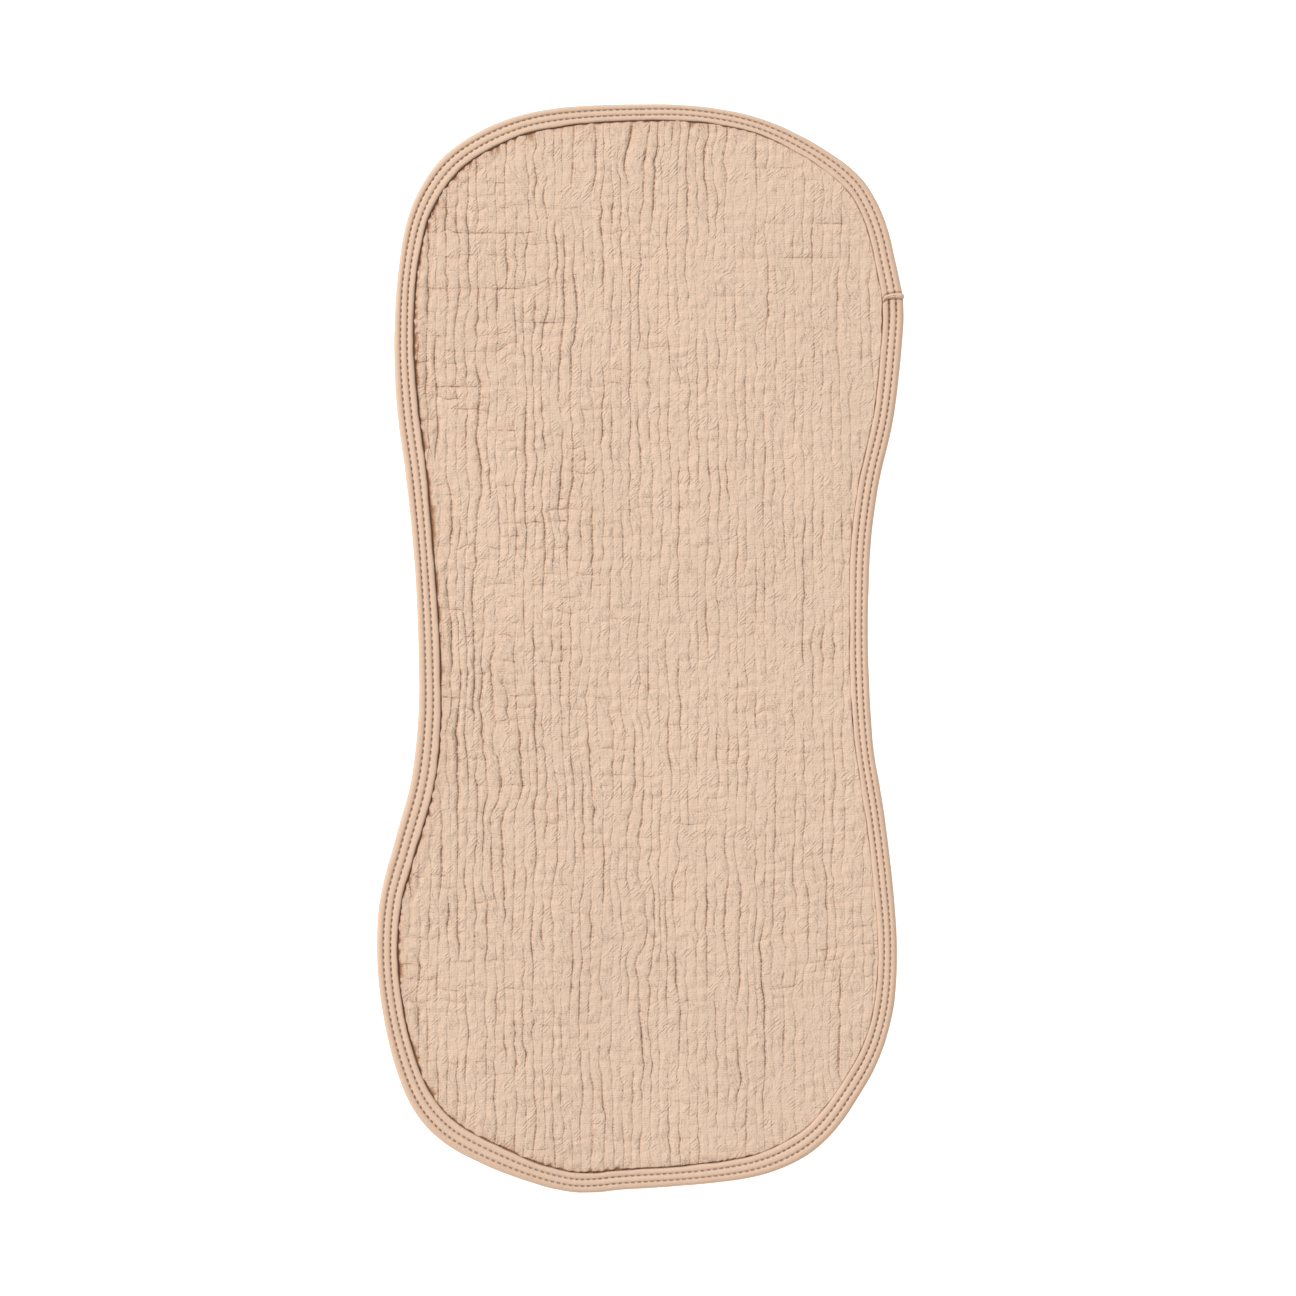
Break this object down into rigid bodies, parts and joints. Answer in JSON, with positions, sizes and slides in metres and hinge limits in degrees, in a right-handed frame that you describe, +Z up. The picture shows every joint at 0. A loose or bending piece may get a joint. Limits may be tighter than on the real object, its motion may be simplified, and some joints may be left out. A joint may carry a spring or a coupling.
{
  "type": "burp cloth",
  "caption": "Waisted baby burp cloth of crinkled cotton muslin with rounded ends and a topstitched folded binding, lying flat.",
  "frame": {"origin": "on the resting surface, under the middle of the cloth's extent", "axes": "+Z up from the surface, +Y along the cloth towards the end with the binding's lapped join, +X across it"},
  "size_m": [0.2474, 0.5104, 0.0038],
  "materials": {
    "crinkled_muslin": "matte crinkled cotton gauze, beige",
    "binding_tape": "matte smooth cotton jersey tape, slightly darker beige",
    "sewing_thread": "matte spun polyester thread, the tape's colour"
  },
  "bodies": {
    "root": {"muslin_panel": "crinkled_muslin", "edge_binding": "binding_tape"}
  },
  "joints": []
}
